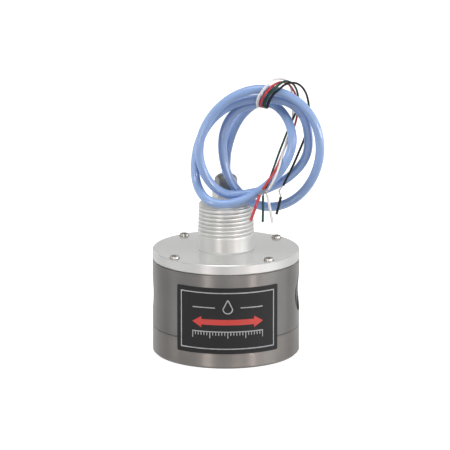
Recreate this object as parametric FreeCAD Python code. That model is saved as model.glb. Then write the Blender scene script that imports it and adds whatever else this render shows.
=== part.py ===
import FreeCAD
import Part
import math
import os

# Oval gear flow meter. Millimetres, +Z up, origin at the centre of the base,
# ports along X, label on the -Y side.

# Housing
body_diameter = 70.0
base_height = 13.6
body_height = 32.0
cap_height = 4.8
base_edge_chamfer = 1.1
seam_chamfer = 0.35
cap_edge_chamfer = 0.4

# Measuring chamber: the walls that the housing leaves round it
chamber_wall = 11.8
chamber_roof = 6.0

# Oval gears: they fill the chamber. Tooth heights are shares of the module
gear_oval_share = 0.19
gear_teeth = 14
tooth_addendum_share = 0.56
tooth_dedendum_share = 0.77
tooth_tip_share = 0.14
tooth_root_share = 0.46
gear_centre_slack = 0.4
gear_wall_clearance = 0.3
gear_end_clearance = 0.15

# Shafts, bushes and magnets of the gears
shaft_diameter = 4.0
shaft_hole_clearance = 0.02
shaft_base_depth = 5.0
shaft_roof_cover = 2.8
shaft_end_gap = 0.1
bush_wall = 1.4
bush_running_clearance = 0.04
press_clearance = 0.02
magnet_diameter = 3.0
magnet_length = 3.0
magnet_circle_radius = 7.0

# Ports: tapped bore, chamfered mouth, passage to the chamber
port_bore_diameter = 14.8
port_mouth_diameter = 17.8
port_depth = 14.0
passage_diameter = 7.4
cut_overrun = 1.0

# Seals
chamber_seal_land = 0.9
chamber_seal_section = 1.8
cap_seal_land = 1.2
cap_seal_section = 1.5
seal_groove_clearance = 0.1

# Base screws, from below, and dowels across the seam
base_screw_count = 6
base_screw_start_angle = 30.0
base_screw_edge = 5.0
base_screw_diameter = 3.0
base_screw_head_diameter = 5.5
base_screw_head_height = 3.0
base_screw_sunk = 4.0
base_screw_grip = 8.0
dowel_diameter = 3.0
dowel_length = 8.0
dowel_edge = 5.5
dowel_angles = (0.0, 180.0)

# Cap screws, from above
cap_screw_count = 4
cap_screw_start_angle = 45.0
cap_screw_edge = 3.5
cap_screw_diameter = 2.5
cap_screw_head_diameter = 4.6
cap_screw_head_height = 1.5
cap_screw_proud = 0.35
cap_screw_grip = 6.0
screw_hole_clearance = 0.15
screw_socket_depth_share = 0.55
screw_socket_flats_share = 0.8
tap_runout = 1.0

# Electronics under the cap
pocket_radius = 24.0
pocket_depth = 6.0
cap_recess_depth = 2.0
standoff_height = 2.0
standoff_diameter = 5.2
standoff_circle_radius = 18.0
standoff_angles = (90.0, 210.0, 330.0)
board_thickness = 1.6
board_rim_gap = 1.0
board_screw_diameter = 2.0
board_screw_head_diameter = 3.8
board_screw_head_height = 1.3
board_screw_length = 5.0
board_tap_runout = 0.5
sensor_width = 4.0
sensor_thickness = 1.6
sensor_well_diameter = 5.4
sensor_well_floor = 2.0
sensor_floor_gap = 1.0
sensor_angles = (0.0, 135.0)
terminal_width = 9.0
terminal_depth = 7.0
terminal_height = 3.2
terminal_corner = 0.4

# Threaded conduit neck, 3/4 inch taper pipe thread
neck_collar_diameter = 26.8
neck_collar_height = 6.8
neck_collar_chamfer = 0.5
neck_thread_length = 15.8
neck_thread_diameter = 26.6
neck_thread_taper = 1.0 / 16.0
neck_thread_pitch = 1.814
neck_thread_depth = 1.15
neck_crest_share = 0.28
neck_root_share = 0.16
neck_end_chamfer = 0.9
neck_spigot_diameter = 20.0
neck_bore_diameter = 13.0
neck_roof = 9.5
fixed_fit_clearance = 0.05

# Cable gland
gland_spigot_diameter = 9.0
gland_spigot_length = 9.0
gland_flats = 11.4
gland_hex_height = 5.6
gland_collet_diameter = 7.6
gland_collet_height = 3.4
gland_seal_depth = 2.4
gland_seal_height = 4.4
gland_seal_wall = 0.95
gland_nut_flats = 9.4
gland_nut_height = 7.9
gland_nut_top_diameter = 6.2
gland_nut_slope = 2.0
gland_bore_clearance = 0.2
gland_thread_clearance = 0.15

# Label across the seam at the front
label_width = 51.5
label_height = 32.0
label_bottom = 7.4
label_thickness = 0.2
label_gap = 0.05
label_facing_angle = -90.0
label_turn = 6.7

# Cable, its coil and the four wires
cable_diameter = 4.2
wire_diameter = 1.0
sleeve_diameter = 1.2
strand_diameter = 0.6
cord_bend_share = 0.45
tail_wire_offset = 0.95
tail_end_gap = 3.0
coil_turn = 5.3
coil_across = 16.0
coil_deep = -12.1
coil_up = 103.9
coil_radius = 31.0
coil_hole_width = 28.0
coil_hole_height = 40.0
coil_thickness = 10.2
coil_edge_round = 4.0

# Levels and radii worked out from the sizes above
body_radius = body_diameter / 2
seam_level = base_height
body_top = seam_level + body_height
cap_top = body_top + cap_height
chamber_depth = body_height - pocket_depth - chamber_roof
chamber_top = seam_level + chamber_depth
chamber_reach = body_radius - chamber_wall
port_level = seam_level + body_height / 2
gear_room = chamber_reach - gear_centre_slack / 2 - gear_wall_clearance
gear_pitch_radius = gear_room / (2 + gear_oval_share + 2 * tooth_addendum_share / gear_teeth)
gear_module = 2 * gear_pitch_radius / gear_teeth
gear_oval = gear_oval_share * gear_pitch_radius
tooth_addendum = tooth_addendum_share * gear_module
tooth_dedendum = tooth_dedendum_share * gear_module
gear_spacing = 2 * gear_pitch_radius + gear_centre_slack
gear_tip_radius = gear_pitch_radius + gear_oval + tooth_addendum
chamber_radius = gear_tip_radius + gear_wall_clearance
gear_height = chamber_depth - 2 * gear_end_clearance
gear_floor = seam_level + gear_end_clearance
shaft_radius = shaft_diameter / 2
shaft_body_depth = chamber_roof - shaft_roof_cover
bush_radius = shaft_radius + bush_running_clearance + bush_wall
gear_sides = {"a": -gear_spacing / 2, "b": gear_spacing / 2}
gear_rest_angles = {"a": 90.0, "b": 0.0}
chamber_seal_radius = chamber_reach + chamber_seal_land + chamber_seal_section / 2
cap_seal_radius = pocket_radius + cap_seal_land + cap_seal_section / 2
base_screw_circle = body_radius - base_screw_edge
cap_screw_circle = body_radius - cap_screw_edge
dowel_circle = body_radius - dowel_edge
pocket_floor = body_top - pocket_depth
board_bottom = pocket_floor + standoff_height
board_top = board_bottom + board_thickness
board_radius = pocket_radius - board_rim_gap
sensor_drop = board_bottom - chamber_top - sensor_well_floor - sensor_floor_gap
terminal_top = board_top + terminal_height
neck_top = cap_top + neck_collar_height + neck_thread_length
gland_hex_top = neck_top + gland_hex_height
gland_collet_top = gland_hex_top + gland_collet_height
gland_seal_floor = gland_collet_top - gland_seal_depth
gland_top = gland_hex_top + gland_nut_height
cable_radius = cable_diameter / 2
tail_bottom = terminal_top + tail_end_gap
origin = FreeCAD.Vector(0, 0, 0)
upward = FreeCAD.Vector(0, 0, 1)


# Shape helpers

def cylinder(radius, height, level, x=0.0, y=0.0):
    return Part.makeCylinder(radius, height, FreeCAD.Vector(x, y, level), upward)


def along_x(radius, start, end, level):
    base = FreeCAD.Vector(start, 0, level)
    return Part.makeCylinder(radius, end - start, base, FreeCAD.Vector(1, 0, 0))


def block(width, depth, height, x, y, level):
    corner = FreeCAD.Vector(x - width / 2, y - depth / 2, level)
    return Part.makeBox(width, depth, height, corner, upward)


def turned(profile):
    points = [FreeCAD.Vector(radius, 0, level) for radius, level in profile]
    face = Part.Face(Part.makePolygon(points + points[:1]))
    return face.revolve(origin, upward, 360)


def ring_seal(radius, section, level):
    return Part.makeTorus(radius, section / 2, FreeCAD.Vector(0, 0, level), upward)


def hexagon(flats, height, level):
    corner = flats / math.sqrt(3)
    points = []
    for side in range(7):
        angle = math.radians(60 * side)
        points.append(FreeCAD.Vector(corner * math.cos(angle), corner * math.sin(angle), level))
    return Part.Face(Part.makePolygon(points)).extrude(upward * height)


def on_circle(radius, angle):
    return radius * math.cos(math.radians(angle)), radius * math.sin(math.radians(angle))


def even_angles(start, count):
    return [start + 360.0 * index / count for index in range(count)]


def groove(radius, section, level):
    width = section + 2 * seal_groove_clearance
    outer = cylinder(radius + width / 2, width, level)
    return outer.cut(cylinder(radius - width / 2, width, level))


# Housing

def base_cover():
    shape = turned([
        (0, 0),
        (body_radius - base_edge_chamfer, 0),
        (body_radius, base_edge_chamfer),
        (body_radius, seam_level - seam_chamfer),
        (body_radius - seam_chamfer, seam_level),
        (0, seam_level),
    ])
    groove_depth = chamber_seal_section + 2 * seal_groove_clearance
    cuts = [groove(chamber_seal_radius, chamber_seal_section, seam_level - groove_depth)]
    for angle in even_angles(base_screw_start_angle, base_screw_count):
        x, y = on_circle(base_screw_circle, angle)
        cuts.append(cylinder(base_screw_diameter / 2 + screw_hole_clearance, base_height, 0, x, y))
        cuts.append(cylinder(base_screw_head_diameter / 2 + screw_hole_clearance, base_screw_sunk, 0, x, y))
    for y in gear_sides.values():
        hole = shaft_radius + shaft_hole_clearance
        cuts.append(cylinder(hole, shaft_base_depth, seam_level - shaft_base_depth, 0, y))
    for angle in dowel_angles:
        x, y = on_circle(dowel_circle, angle)
        cuts.append(dowel_hole(x, y))
    return shape.cut(cuts)


def dowel_hole(x, y):
    return cylinder(dowel_diameter / 2 + press_clearance, dowel_length, seam_level - dowel_length / 2, x, y)


def chamber():
    circles = [cylinder(chamber_radius, chamber_depth, seam_level, 0, y) for y in gear_sides.values()]
    return circles[0].fuse(circles[1])


def port_cuts(side):
    outside = body_radius + cut_overrun
    mouth_depth = (port_mouth_diameter - port_bore_diameter) / 2
    mouth_edge = math.sqrt(body_radius ** 2 - port_mouth_diameter ** 2 / 4)
    bottom = body_radius - port_depth
    bore = along_x(port_bore_diameter / 2, bottom, outside, port_level)
    mouth = Part.makeCone(
        port_bore_diameter / 2,
        port_mouth_diameter / 2,
        mouth_depth,
        FreeCAD.Vector(mouth_edge - mouth_depth, 0, port_level),
        FreeCAD.Vector(1, 0, 0),
    )
    rim = along_x(port_mouth_diameter / 2, mouth_edge, outside, port_level)
    passage = along_x(passage_diameter / 2, 0, bottom, port_level)
    cuts = [bore, mouth, rim, passage]
    if side < 0:
        cuts = [cut.mirror(origin, FreeCAD.Vector(1, 0, 0)) for cut in cuts]
    return cuts


def sensor_places():
    places = []
    for angle in sensor_angles:
        x, y = on_circle(magnet_circle_radius, angle)
        places.append((x, y + gear_sides["a"]))
    return places


def meter_body():
    shape = turned([
        (0, seam_level),
        (body_radius - seam_chamfer, seam_level),
        (body_radius, seam_level + seam_chamfer),
        (body_radius, body_top - seam_chamfer),
        (body_radius - seam_chamfer, body_top),
        (0, body_top),
    ])
    cuts = [chamber(), cylinder(pocket_radius, pocket_depth, pocket_floor)]
    cuts += port_cuts(1) + port_cuts(-1)
    for y in gear_sides.values():
        cuts.append(cylinder(shaft_radius + shaft_hole_clearance, shaft_body_depth, chamber_top, 0, y))
    for angle in even_angles(base_screw_start_angle, base_screw_count):
        x, y = on_circle(base_screw_circle, angle)
        depth = base_screw_grip + tap_runout
        cuts.append(cylinder(base_screw_diameter / 2 + press_clearance, depth, seam_level, x, y))
    for angle in dowel_angles:
        x, y = on_circle(dowel_circle, angle)
        cuts.append(dowel_hole(x, y))
    for angle in even_angles(cap_screw_start_angle, cap_screw_count):
        x, y = on_circle(cap_screw_circle, angle)
        depth = cap_screw_grip + tap_runout
        cuts.append(cylinder(cap_screw_diameter / 2 + press_clearance, depth, body_top - depth, x, y))
    groove_depth = cap_seal_section + 2 * seal_groove_clearance
    cuts.append(groove(cap_seal_radius, cap_seal_section, body_top - groove_depth))
    well_floor = chamber_top + sensor_well_floor
    for x, y in sensor_places():
        cuts.append(cylinder(sensor_well_diameter / 2, pocket_floor - well_floor, well_floor, x, y))
    shape = shape.cut(cuts)
    standoffs = []
    for angle in standoff_angles:
        x, y = on_circle(standoff_circle_radius, angle)
        post = cylinder(standoff_diameter / 2, standoff_height, pocket_floor, x, y)
        standoffs.append(post)
    shape = shape.fuse(standoffs)
    for angle in standoff_angles:
        x, y = on_circle(standoff_circle_radius, angle)
        depth = board_screw_length - board_thickness + board_tap_runout
        hole = cylinder(board_screw_diameter / 2 + press_clearance, depth, board_bottom - depth, x, y)
        shape = shape.cut(hole)
    return shape.removeSplitter()


def top_cap():
    bore = neck_spigot_diameter / 2 + fixed_fit_clearance
    shape = turned([
        (bore, body_top),
        (body_radius - cap_edge_chamfer, body_top),
        (body_radius, body_top + cap_edge_chamfer),
        (body_radius, cap_top - cap_edge_chamfer),
        (body_radius - cap_edge_chamfer, cap_top),
        (bore, cap_top),
    ])
    cuts = [cylinder(pocket_radius, cap_recess_depth, body_top)]
    for angle in even_angles(cap_screw_start_angle, cap_screw_count):
        x, y = on_circle(cap_screw_circle, angle)
        cuts.append(cylinder(cap_screw_diameter / 2 + screw_hole_clearance, cap_height, body_top, x, y))
        seat = cap_top + cap_screw_proud - cap_screw_head_height
        head_hole = cap_screw_head_diameter / 2 + screw_hole_clearance
        cuts.append(cylinder(head_hole, cap_top - seat, seat, x, y))
    return shape.cut(cuts)


def thread_ridges(level, reach, room):
    ridges = []
    crest = neck_crest_share / 2
    root = neck_root_share / 2
    stations = ((crest, 0), (0.5 - root, neck_thread_depth), (0.5 + root, neck_thread_depth), (1 - crest, 0))
    for index in range(int(room / neck_thread_pitch)):
        for share, depth in stations:
            rise = (index + share) * neck_thread_pitch
            ridges.append((reach - rise * neck_thread_taper / 2 - depth, level + rise))
    return ridges


def conduit_neck():
    collar = neck_collar_diameter / 2
    thread_start = neck_thread_diameter / 2
    thread_end = thread_start - neck_thread_length * neck_thread_taper / 2
    collar_top = cap_top + neck_collar_height
    ridges = thread_ridges(collar_top, thread_start, neck_thread_length - neck_end_chamfer)
    bore = neck_bore_diameter / 2
    gland_hole = gland_spigot_diameter / 2 + fixed_fit_clearance
    roof = neck_top - neck_roof
    return turned([
        (bore, body_top + cap_recess_depth),
        (neck_spigot_diameter / 2, body_top + cap_recess_depth),
        (neck_spigot_diameter / 2, cap_top),
        (collar - neck_collar_chamfer, cap_top),
        (collar, cap_top + neck_collar_chamfer),
        (collar, collar_top),
        (thread_start, collar_top),
        *ridges,
        (thread_end + neck_end_chamfer * neck_thread_taper / 2, neck_top - neck_end_chamfer),
        (thread_end - neck_end_chamfer, neck_top),
        (gland_hole, neck_top),
        (gland_hole, roof),
        (bore, roof),
    ])


# Oval gears

def pitch_radius(angle):
    return gear_pitch_radius + gear_oval * math.cos(2 * angle)


def gear_outline():
    step = 2 * math.pi / gear_teeth
    flank_foot = (0.5 - tooth_root_share / 2) * step
    flank_tip = tooth_tip_share / 2 * step
    points = []
    for tooth in range(gear_teeth):
        middle = tooth * step
        for turn, height in (
            (-flank_foot, -tooth_dedendum),
            (-flank_tip, tooth_addendum),
            (flank_tip, tooth_addendum),
            (flank_foot, -tooth_dedendum),
        ):
            angle = middle + turn
            radius = pitch_radius(angle) + height
            points.append(FreeCAD.Vector(radius * math.cos(angle), radius * math.sin(angle), gear_floor))
    return Part.Face(Part.makePolygon(points + points[:1]))


def magnet_places():
    return [(magnet_circle_radius, 0.0), (-magnet_circle_radius, 0.0)]


def set_gear_piece(shape, side):
    shape.rotate(origin, upward, gear_rest_angles[side])
    shape.translate(FreeCAD.Vector(0, gear_sides[side], 0))
    return shape


def oval_gear(side):
    shape = gear_outline().extrude(upward * gear_height)
    cuts = [cylinder(bush_radius + press_clearance, gear_height, gear_floor)]
    gear_top = gear_floor + gear_height
    for x, y in magnet_places():
        hole = magnet_diameter / 2 + press_clearance
        cuts.append(cylinder(hole, magnet_length, gear_top - magnet_length, x, y))
    return set_gear_piece(shape.cut(cuts), side)


def gear_bush(side):
    bore = shaft_radius + bush_running_clearance
    bush = cylinder(bush_radius, gear_height, gear_floor).cut(cylinder(bore, gear_height, gear_floor))
    return set_gear_piece(bush, side)


def gear_magnets(side):
    level = gear_floor + gear_height - magnet_length
    magnets = [cylinder(magnet_diameter / 2, magnet_length, level, x, y) for x, y in magnet_places()]
    return set_gear_piece(Part.makeCompound(magnets), side)


def gear_shaft(side):
    bottom = seam_level - shaft_base_depth
    length = shaft_base_depth + chamber_depth + shaft_body_depth - shaft_end_gap
    return cylinder(shaft_radius, length, bottom, 0, gear_sides[side])


# Seals, screws and dowels

def chamber_seal():
    level = seam_level - chamber_seal_section / 2 - seal_groove_clearance
    return ring_seal(chamber_seal_radius, chamber_seal_section, level)


def cap_seal():
    level = body_top - cap_seal_section / 2 - seal_groove_clearance
    return ring_seal(cap_seal_radius, cap_seal_section, level)


def socket_screw(diameter, head_diameter, head_height, length):
    head = cylinder(head_diameter / 2, head_height, 0)
    shank = cylinder(diameter / 2, length, -length)
    socket_depth = head_height * screw_socket_depth_share
    socket = hexagon(diameter * screw_socket_flats_share, socket_depth, head_height - socket_depth)
    return head.fuse(shank).cut(socket)


def base_screws():
    length = base_height - base_screw_sunk + base_screw_grip
    screws = []
    for angle in even_angles(base_screw_start_angle, base_screw_count):
        x, y = on_circle(base_screw_circle, angle)
        screw = socket_screw(base_screw_diameter, base_screw_head_diameter, base_screw_head_height, length)
        screw.rotate(origin, FreeCAD.Vector(1, 0, 0), 180)
        screw.translate(FreeCAD.Vector(x, y, base_screw_sunk))
        screws.append(screw)
    return Part.makeCompound(screws)


def cap_screws():
    seat = cap_top + cap_screw_proud - cap_screw_head_height
    length = seat - body_top + cap_screw_grip
    screws = []
    for angle in even_angles(cap_screw_start_angle, cap_screw_count):
        x, y = on_circle(cap_screw_circle, angle)
        screw = socket_screw(cap_screw_diameter, cap_screw_head_diameter, cap_screw_head_height, length)
        screw.translate(FreeCAD.Vector(x, y, seat))
        screws.append(screw)
    return Part.makeCompound(screws)


def dowel_pins():
    pins = []
    for angle in dowel_angles:
        x, y = on_circle(dowel_circle, angle)
        pins.append(cylinder(dowel_diameter / 2, dowel_length, seam_level - dowel_length / 2, x, y))
    return Part.makeCompound(pins)


# Electronics

def circuit_board():
    board = cylinder(board_radius, board_thickness, board_bottom)
    holes = []
    for angle in standoff_angles:
        x, y = on_circle(standoff_circle_radius, angle)
        hole = board_screw_diameter / 2 + screw_hole_clearance
        holes.append(cylinder(hole, board_thickness, board_bottom, x, y))
    return board.cut(holes)


def board_screws():
    screws = []
    for angle in standoff_angles:
        x, y = on_circle(standoff_circle_radius, angle)
        head_height = board_screw_head_height
        screw = socket_screw(board_screw_diameter, board_screw_head_diameter, head_height, board_screw_length)
        screw.translate(FreeCAD.Vector(x, y, board_top))
        screws.append(screw)
    return Part.makeCompound(screws)


def hall_sensors():
    level = board_bottom - sensor_drop
    return Part.makeCompound([
        block(sensor_width, sensor_thickness, sensor_drop, x, y, level) for x, y in sensor_places()
    ])


def wire_terminal():
    shape = block(terminal_width, terminal_depth, terminal_height, 0, 0, board_top)
    rounded = [edge for edge in shape.Edges if abs(edge.tangentAt(edge.FirstParameter).z) > 0.9]
    return shape.makeFillet(terminal_corner, rounded)


def tail_wires():
    wires = []
    for x in (-tail_wire_offset, tail_wire_offset):
        for y in (-tail_wire_offset, tail_wire_offset):
            wires.append(cylinder(wire_diameter / 2, tail_end_gap, terminal_top, x, y))
    return Part.makeCompound(wires)


def cable_tail():
    return cylinder(cable_radius, gland_top - tail_bottom, tail_bottom)


# Cable gland

def gland_body():
    spigot = cylinder(gland_spigot_diameter / 2, gland_spigot_length, neck_top - gland_spigot_length)
    grip = hexagon(gland_flats, gland_hex_height, neck_top)
    collet = cylinder(gland_collet_diameter / 2, gland_collet_height, gland_hex_top)
    bore = cylinder(cable_radius + gland_bore_clearance, gland_top, 0)
    seat_radius = cable_radius + gland_bore_clearance + gland_seal_wall
    seat = cylinder(seat_radius, gland_seal_depth, gland_seal_floor)
    return spigot.fuse([grip, collet]).cut([bore, seat]).removeSplitter()


def gland_seal():
    outer = cylinder(cable_radius + gland_seal_wall, gland_seal_height, gland_seal_floor)
    return outer.cut(cylinder(cable_radius + fixed_fit_clearance, gland_seal_height, gland_seal_floor))


def gland_nut():
    corner = gland_nut_flats / math.sqrt(3)
    dome = turned([
        (0, gland_hex_top),
        (corner, gland_hex_top),
        (corner, gland_top - gland_nut_slope),
        (gland_nut_top_diameter / 2, gland_top),
        (0, gland_top),
    ])
    nut = dome.common(hexagon(gland_nut_flats, gland_nut_height, gland_hex_top))
    thread = cylinder(
        gland_collet_diameter / 2 + gland_thread_clearance,
        gland_collet_height + gland_thread_clearance,
        gland_hex_top,
    )
    seal_top = gland_seal_floor + gland_seal_height + gland_thread_clearance
    seal_room = cylinder(
        cable_radius + gland_seal_wall + gland_thread_clearance, seal_top - gland_hex_top, gland_hex_top
    )
    mouth = cylinder(cable_radius + gland_bore_clearance, gland_nut_height, gland_hex_top)
    return nut.cut([thread, seal_room, mouth])


# Label

def label_plate():
    inner = body_radius + label_gap
    sweep = math.degrees(label_width / body_radius)
    start = label_facing_angle + label_turn - sweep / 2
    corner = FreeCAD.Vector(inner, 0, label_bottom)
    profile = Part.makePolygon([
        corner,
        corner + FreeCAD.Vector(label_thickness, 0, 0),
        corner + FreeCAD.Vector(label_thickness, 0, label_height),
        corner + FreeCAD.Vector(0, 0, label_height),
        corner,
    ])
    plate = Part.Face(profile).revolve(origin, upward, sweep)
    plate.rotate(origin, upward, start)
    return plate


# Cable, coil and wires: points are across, deep and up in the plane of the coil

cable_lead_route = [
    (0.0, 0.0, 0.0),
    (0.0, 0.0, 7.5),
    (1.2, -0.9, 15.0),
    (4.2, -1.6, 23.0),
    (9.3, -2.6, 30.1),
    (15.6, -4.2, 35.3),
    (21.5, -7.4, 38.7),
]

wire_routes = {
    "red": [
        (15.8, -14.2, 122.7), (16.6, -18.0, 125.2), (18.2, -18.9, 130.0), (21.6, -18.0, 134.3),
        (26.0, -13.5, 136.2), (30.3, -7.5, 134.0), (33.6, -4.2, 128.0), (34.2, -3.8, 119.5),
        (29.6, -4.4, 110.5), (24.8, -8.4, 101.2), (21.4, -13.8, 92.2), (19.2, -18.8, 86.6),
        (17.6, -19.6, 83.5),
    ],
    "green": [
        (18.2, -14.4, 122.4), (18.9, -18.3, 125.0), (20.6, -18.9, 130.0), (24.0, -18.0, 133.9),
        (28.3, -13.5, 135.4), (32.2, -8.0, 133.2), (35.6, -5.7, 127.0), (35.8, -5.6, 118.5),
        (27.2, -6.1, 109.0), (22.4, -8.6, 101.0), (19.7, -12.6, 92.6), (19.8, -16.5, 87.6),
        (19.1, -18.6, 83.7),
    ],
    "white": [
        (13.8, -14.2, 122.7), (14.4, -17.9, 125.4), (15.8, -18.9, 130.4), (19.2, -18.2, 135.6),
        (24.2, -13.5, 138.2), (28.8, -6.9, 135.8), (32.0, -2.4, 128.8), (32.8, -2.0, 119.8),
        (31.2, -3.0, 110.2), (26.6, -8.4, 100.8), (23.2, -14.6, 91.8), (21.9, -18.4, 86.4),
        (20.3, -19.6, 83.3),
    ],
    "black": [
        (20.2, -14.4, 121.8), (20.9, -18.4, 124.4), (22.8, -19.0, 129.4), (26.4, -18.0, 133.1),
        (31.0, -13.5, 134.2), (35.4, -7.9, 132.0), (39.0, -4.4, 125.6), (39.6, -4.2, 117.0),
        (35.6, -4.6, 108.6), (29.6, -6.4, 102.2), (26.0, -12.6, 94.8), (26.4, -18.6, 87.6),
        (26.9, -19.2, 84.8),
    ],
}

# Where each loose piece of insulation starts and ends, past the bare strands
sleeve_ends = {
    "red": ((16.2, -20.2, 81.0), (11.9, -20.6, 68.7)),
    "green": ((17.7, -19.6, 80.6), (17.6, -19.9, 67.8)),
    "white": ((19.8, -19.9, 80.7), (22.2, -20.2, 67.5)),
    "black": ((26.1, -19.6, 80.0), (24.1, -19.9, 71.6)),
}


def in_coil_plane(point, lift=0.0):
    across, deep, up = point
    turn = math.radians(coil_turn)
    x = across * math.cos(turn) - deep * math.sin(turn)
    y = across * math.sin(turn) + deep * math.cos(turn)
    return FreeCAD.Vector(x, y, up + lift)


def cord_tube(name, points, diameter):
    edges = []
    radii = []
    start = points[0]
    for before, corner, after in zip(points, points[1:], points[2:]):
        back = before - corner
        ahead = after - corner
        trim = cord_bend_share * min(back.Length, ahead.Length)
        back.normalize()
        ahead.normalize()
        turn = math.pi - back.getAngle(ahead)
        radius = trim / math.tan(turn / 2)
        inward = back + ahead
        inward.normalize()
        middle = corner + inward * (radius / math.cos(turn / 2) - radius)
        arc_start = corner + back * trim
        arc_end = corner + ahead * trim
        edges.append(Part.LineSegment(start, arc_start).toShape())
        edges.append(Part.Arc(arc_start, middle, arc_end).toShape())
        radii.append(round(radius, 1))
        start = arc_end
    edges.append(Part.LineSegment(start, points[-1]).toShape())
    path = Part.Wire(edges)
    section = Part.Wire([Part.makeCircle(diameter / 2, points[0], points[1] - points[0])])
    tube = path.makePipeShell([section], True, False)
    share = tube.Volume / (math.pi * diameter ** 2 / 4 * path.Length)
    print(name, "length", round(path.Length, 1), "volume share", round(share, 4), "radii", radii)
    return tube


def cable_lead():
    points = [in_coil_plane(point, gland_top) for point in cable_lead_route]
    return cord_tube("cable_lead", points, cable_diameter)


def wire_tube(colour):
    points = [in_coil_plane(point) for point in wire_routes[colour]]
    return cord_tube("wire_" + colour, points, wire_diameter)


def cable_coil():
    hole_top = FreeCAD.Vector(0, coil_hole_height / 2, 0)
    hole_side = FreeCAD.Vector(coil_hole_width / 2, 0, 0)
    hole = Part.Ellipse(hole_top, hole_side, origin)
    hole_face = Part.Face(Part.Wire([hole.toShape()]))
    coil = Part.makeCylinder(coil_radius, coil_thickness).cut(hole_face.extrude(upward * coil_thickness))
    rims = [edge for edge in coil.Edges if edge.isClosed() and edge.BoundBox.ZLength < 0.01]
    coil = coil.makeFillet(coil_edge_round, rims)
    coil.translate(FreeCAD.Vector(0, 0, -coil_thickness / 2))
    coil.rotate(origin, FreeCAD.Vector(1, 0, 0), 90)
    coil.translate(FreeCAD.Vector(coil_across, coil_deep, coil_up))
    coil.rotate(origin, upward, coil_turn)
    return coil


def straight_rod(start, end, diameter):
    line = end - start
    return Part.makeCylinder(diameter / 2, line.Length, start, line)


def bare_strands():
    strands = []
    for colour, sleeve in sleeve_ends.items():
        wire_end = in_coil_plane(wire_routes[colour][-1])
        strands.append(straight_rod(wire_end, in_coil_plane(sleeve[0]), strand_diameter))
    return Part.makeCompound(strands)


def wire_sleeves():
    sleeves = []
    for start, end in sleeve_ends.values():
        sleeves.append(straight_rod(in_coil_plane(start), in_coil_plane(end), sleeve_diameter))
    return Part.makeCompound(sleeves)


nodes = {
    "base_cover": base_cover(),
    "meter_body": meter_body(),
    "top_cap": top_cap(),
    "conduit_neck": conduit_neck(),
    "chamber_seal": chamber_seal(),
    "cap_seal": cap_seal(),
    "base_screws": base_screws(),
    "cap_screws": cap_screws(),
    "dowel_pins": dowel_pins(),
    "circuit_board": circuit_board(),
    "board_screws": board_screws(),
    "hall_sensors": hall_sensors(),
    "wire_terminal": wire_terminal(),
    "tail_wires": tail_wires(),
    "cable_tail": cable_tail(),
    "gland_body": gland_body(),
    "gland_seal": gland_seal(),
    "gland_nut": gland_nut(),
    "label_plate": label_plate(),
    "cable_lead": cable_lead(),
    "cable_coil": cable_coil(),
    "bare_strands": bare_strands(),
    "wire_sleeves": wire_sleeves(),
}
for gear_side in gear_sides:
    nodes["oval_gear_" + gear_side] = oval_gear(gear_side)
    nodes["gear_bush_" + gear_side] = gear_bush(gear_side)
    nodes["gear_magnets_" + gear_side] = gear_magnets(gear_side)
    nodes["gear_shaft_" + gear_side] = gear_shaft(gear_side)
for wire_colour in wire_routes:
    nodes["wire_" + wire_colour] = wire_tube(wire_colour)

os.makedirs("parts", exist_ok=True)
for node_name, node_shape in nodes.items():
    node_shape.exportStep("parts/" + node_name + ".step")
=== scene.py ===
import math
import bmesh
import bpy
from mathutils import Matrix, Vector


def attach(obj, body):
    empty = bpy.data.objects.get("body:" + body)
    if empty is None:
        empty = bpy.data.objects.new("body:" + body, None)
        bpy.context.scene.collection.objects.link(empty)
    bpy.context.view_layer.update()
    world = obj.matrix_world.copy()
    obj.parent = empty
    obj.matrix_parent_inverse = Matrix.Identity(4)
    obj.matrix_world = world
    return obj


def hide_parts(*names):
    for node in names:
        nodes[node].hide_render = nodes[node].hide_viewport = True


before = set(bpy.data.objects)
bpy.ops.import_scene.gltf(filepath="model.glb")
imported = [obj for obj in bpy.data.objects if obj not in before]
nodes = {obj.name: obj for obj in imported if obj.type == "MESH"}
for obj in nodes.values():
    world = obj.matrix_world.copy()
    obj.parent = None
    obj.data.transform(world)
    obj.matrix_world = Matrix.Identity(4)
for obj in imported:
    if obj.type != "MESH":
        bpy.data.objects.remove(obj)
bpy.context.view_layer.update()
mm = 0.001
print("frame loaded:", len(nodes), "nodes")

# camera, at the photo's angle: plan and rise in degrees, lens and sensor in millimetres, the rest in metres
view = {
    "plan": -84.7, "rise": 13.7, "away": 2.0, "aimHeight": 0.0615, "aimLeft": 0.00047,
    "lens": 336.0, "sensor": 36, "clipEnd": 50,
}


def fromAim(planOffset, rise, away):
    plan = math.radians(view["plan"] + planOffset)
    level = away * math.cos(math.radians(rise))
    lift = view["aimHeight"] + away * math.sin(math.radians(rise))
    return Vector((level * math.cos(plan), level * math.sin(plan), lift))


camera = bpy.data.objects.new("camera", bpy.data.cameras.new("camera"))
bpy.context.collection.objects.link(camera)
camera.data.lens = view["lens"]
camera.data.sensor_width = view["sensor"]
camera.data.clip_end = view["clipEnd"]
plan = math.radians(view["plan"])
sideways = Vector((math.sin(plan), -math.cos(plan), 0)) * view["aimLeft"]
camera.location = fromAim(0, view["rise"], view["away"]) + sideways
aim = Vector((0, 0, view["aimHeight"])) + sideways
camera.rotation_euler = (aim - camera.location).to_track_quat("-Z", "Y").to_euler()
bpy.context.scene.camera = camera
print("camera set")


# finishes
noiseSpan = (0.3, 0.7)  # the stretch of a noise's range that a finish uses


def newFinish(name, colour, rough, metal=0.0):
    finish = bpy.data.materials.new(name)
    finish.use_nodes = True
    shader = finish.node_tree.nodes["Principled BSDF"]
    shader.inputs["Base Color"].default_value = (*colour, 1)
    shader.inputs["Roughness"].default_value = rough
    shader.inputs["Metallic"].default_value = metal
    return finish, finish.node_tree, shader


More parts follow.
